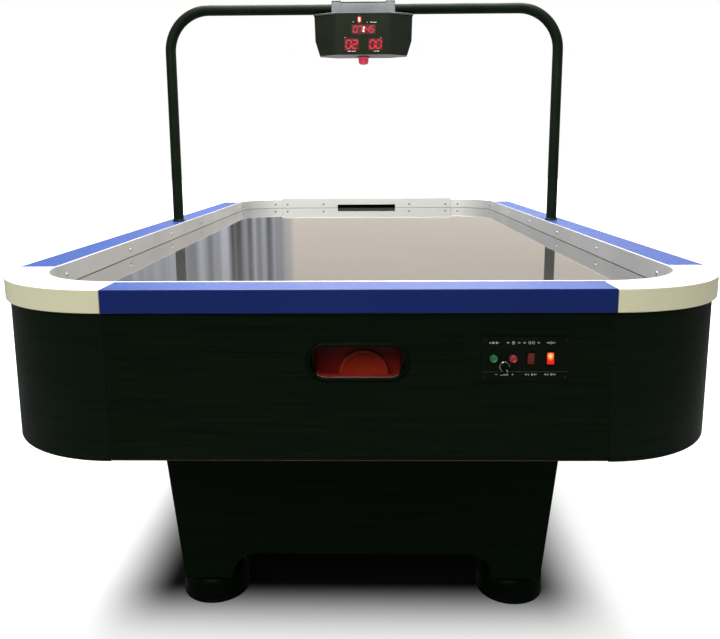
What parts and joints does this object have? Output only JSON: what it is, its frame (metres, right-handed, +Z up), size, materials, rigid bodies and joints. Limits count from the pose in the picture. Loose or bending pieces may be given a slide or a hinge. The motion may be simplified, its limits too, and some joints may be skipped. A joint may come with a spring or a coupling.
{
  "type": "air hockey table",
  "caption": "Long gaming table with rounded corners, a low-walled air field, goal slots, puck returns, an overhead arch with a scoreboard, and two tapered pedestals.",
  "frame": {"origin": "on the floor, under the middle of the table", "axes": "+X to the right of a player at the control end, +Y along the table away from that player, +Z up"},
  "size_m": [1.3, 2.4668, 1.4765],
  "materials": {
    "playfield": "polished",
    "raw_board": "raw",
    "black_laminate": "laminated, satin",
    "blue_laminate": "laminated, satin",
    "white_laminate": "laminated, satin",
    "aluminium": "brushed, anodised",
    "black_plastic": "satin",
    "red_tray": "moulded",
    "red_puck": "worn",
    "zinc_plate": "zinc plated",
    "motor_black": "painted",
    "black_tube": "powder coated",
    "silver_cast": "silver painted",
    "circuit_board": "satin",
    "red_lens": "translucent",
    "green_button": "gloss",
    "red_button": "gloss",
    "dark_red_rocker": "gloss",
    "lit_rocker": "lit from inside"
  },
  "bodies": {
    "table": {"playfield": "playfield", "plenum_tray": "raw_board", "bottom_board": "raw_board", "front_panel": "black_laminate", "rear_panel": "black_laminate", "left_panel": "black_laminate", "right_panel": "black_laminate", "front_left_corner_panel": "black_laminate", "front_right_corner_panel": "black_laminate", "rear_left_corner_panel": "black_laminate", "rear_right_corner_panel": "black_laminate", "front_rail": "blue_laminate", "rear_rail": "blue_laminate", "left_rail": "blue_laminate", "right_rail": "blue_laminate", "front_left_corner_cap": "white_laminate", "front_right_corner_cap": "white_laminate", "rear_left_corner_cap": "white_laminate", "rear_right_corner_cap": "white_laminate", "left_wall": "aluminium", "right_wall": "aluminium", "front_left_corner_wall": "aluminium", "front_right_corner_wall": "aluminium", "rear_left_corner_wall": "aluminium", "rear_right_corner_wall": "aluminium", "front_goal_plate": "aluminium", "rear_goal_plate": "aluminium", "front_pedestal": "black_laminate", "rear_pedestal": "black_laminate", "front_puck_bezel": "black_plastic", "rear_puck_bezel": "black_plastic", "front_return_tray": "red_tray", "rear_return_tray": "red_tray", "control_plate": "black_plastic", "blower_housing": "zinc_plate", "blower_motor": "motor_black", "power_supply": "zinc_plate", "left_post": "black_tube", "right_post": "black_tube", "crossbar": "black_tube", "scoreboard_clamp": "silver_cast", "scoreboard_front_shell": "black_plastic", "scoreboard_rear_shell": "black_plastic", "scoreboard_circuit": "circuit_board", "beacon_lens": "red_lens"},
    "start_button_body": {"start_button": "green_button"},
    "minutes_button_body": {"minutes_button": "red_button"},
    "volume_knob_body": {"volume_knob": "black_plastic"},
    "scoreboard_switch_body": {"scoreboard_switch": "dark_red_rocker"},
    "main_switch_body": {"main_switch": "lit_rocker"},
    "impeller_body": {"blower_impeller": "zinc_plate"},
    "puck_body": {"puck": "red_puck"},
    "front_outer_left_foot_body": {"front_outer_left_foot": "black_plastic"},
    "front_outer_right_foot_body": {"front_outer_right_foot": "black_plastic"},
    "front_inner_left_foot_body": {"front_inner_left_foot": "black_plastic"},
    "front_inner_right_foot_body": {"front_inner_right_foot": "black_plastic"},
    "rear_outer_left_foot_body": {"rear_outer_left_foot": "black_plastic"},
    "rear_outer_right_foot_body": {"rear_outer_right_foot": "black_plastic"},
    "rear_inner_left_foot_body": {"rear_inner_left_foot": "black_plastic"},
    "rear_inner_right_foot_body": {"rear_inner_right_foot": "black_plastic"}
  },
  "joints": [
    {"name": "start_button_press", "type": "slide", "parent": "table", "child": "start_button_body", "axis": [0, 1, 0], "range_m": [0, 0.003], "stiffness_N_per_m": 400, "springref_m": -0.001},
    {"name": "minutes_button_press", "type": "slide", "parent": "table", "child": "minutes_button_body", "axis": [0, 1, 0], "range_m": [0, 0.003], "stiffness_N_per_m": 400, "springref_m": -0.001},
    {"name": "volume_knob_turn", "type": "hinge", "parent": "table", "child": "volume_knob_body", "pos_m": [0.2334, -1.2243, 0.6734], "axis": [0, -1, 0], "range_deg": [-15, 285]},
    {"name": "scoreboard_switch_rock", "type": "hinge", "parent": "table", "child": "scoreboard_switch_body", "pos_m": [0.2755, -1.2233, 0.6862], "axis": [1, 0, 0], "range_deg": [-16, 0]},
    {"name": "main_switch_rock", "type": "hinge", "parent": "table", "child": "main_switch_body", "pos_m": [0.3062, -1.2233, 0.6862], "axis": [1, 0, 0], "range_deg": [0, 16]},
    {"name": "blower_impeller_spin", "type": "hinge", "parent": "table", "child": "impeller_body", "pos_m": [0, 0, 0.606], "axis": [1, 0, 0], "continuous": true},
    {"name": "puck_tip", "type": "hinge", "parent": "table", "child": "puck_body", "pos_m": [0.009, -1.182, 0.6044], "axis": [1, 0, 0], "range_deg": [0, 28]},
    {"name": "front_outer_left_foot_level", "type": "slide", "parent": "table", "child": "front_outer_left_foot_body", "axis": [0, 0, -1], "range_m": [0, 0.02]},
    {"name": "front_outer_right_foot_level", "type": "slide", "parent": "table", "child": "front_outer_right_foot_body", "axis": [0, 0, -1], "range_m": [0, 0.02]},
    {"name": "front_inner_left_foot_level", "type": "slide", "parent": "table", "child": "front_inner_left_foot_body", "axis": [0, 0, -1], "range_m": [0, 0.02]},
    {"name": "front_inner_right_foot_level", "type": "slide", "parent": "table", "child": "front_inner_right_foot_body", "axis": [0, 0, -1], "range_m": [0, 0.02]},
    {"name": "rear_outer_left_foot_level", "type": "slide", "parent": "table", "child": "rear_outer_left_foot_body", "axis": [0, 0, -1], "range_m": [0, 0.02]},
    {"name": "rear_outer_right_foot_level", "type": "slide", "parent": "table", "child": "rear_outer_right_foot_body", "axis": [0, 0, -1], "range_m": [0, 0.02]},
    {"name": "rear_inner_left_foot_level", "type": "slide", "parent": "table", "child": "rear_inner_left_foot_body", "axis": [0, 0, -1], "range_m": [0, 0.02]},
    {"name": "rear_inner_right_foot_level", "type": "slide", "parent": "table", "child": "rear_inner_right_foot_body", "axis": [0, 0, -1], "range_m": [0, 0.02]}
  ]
}
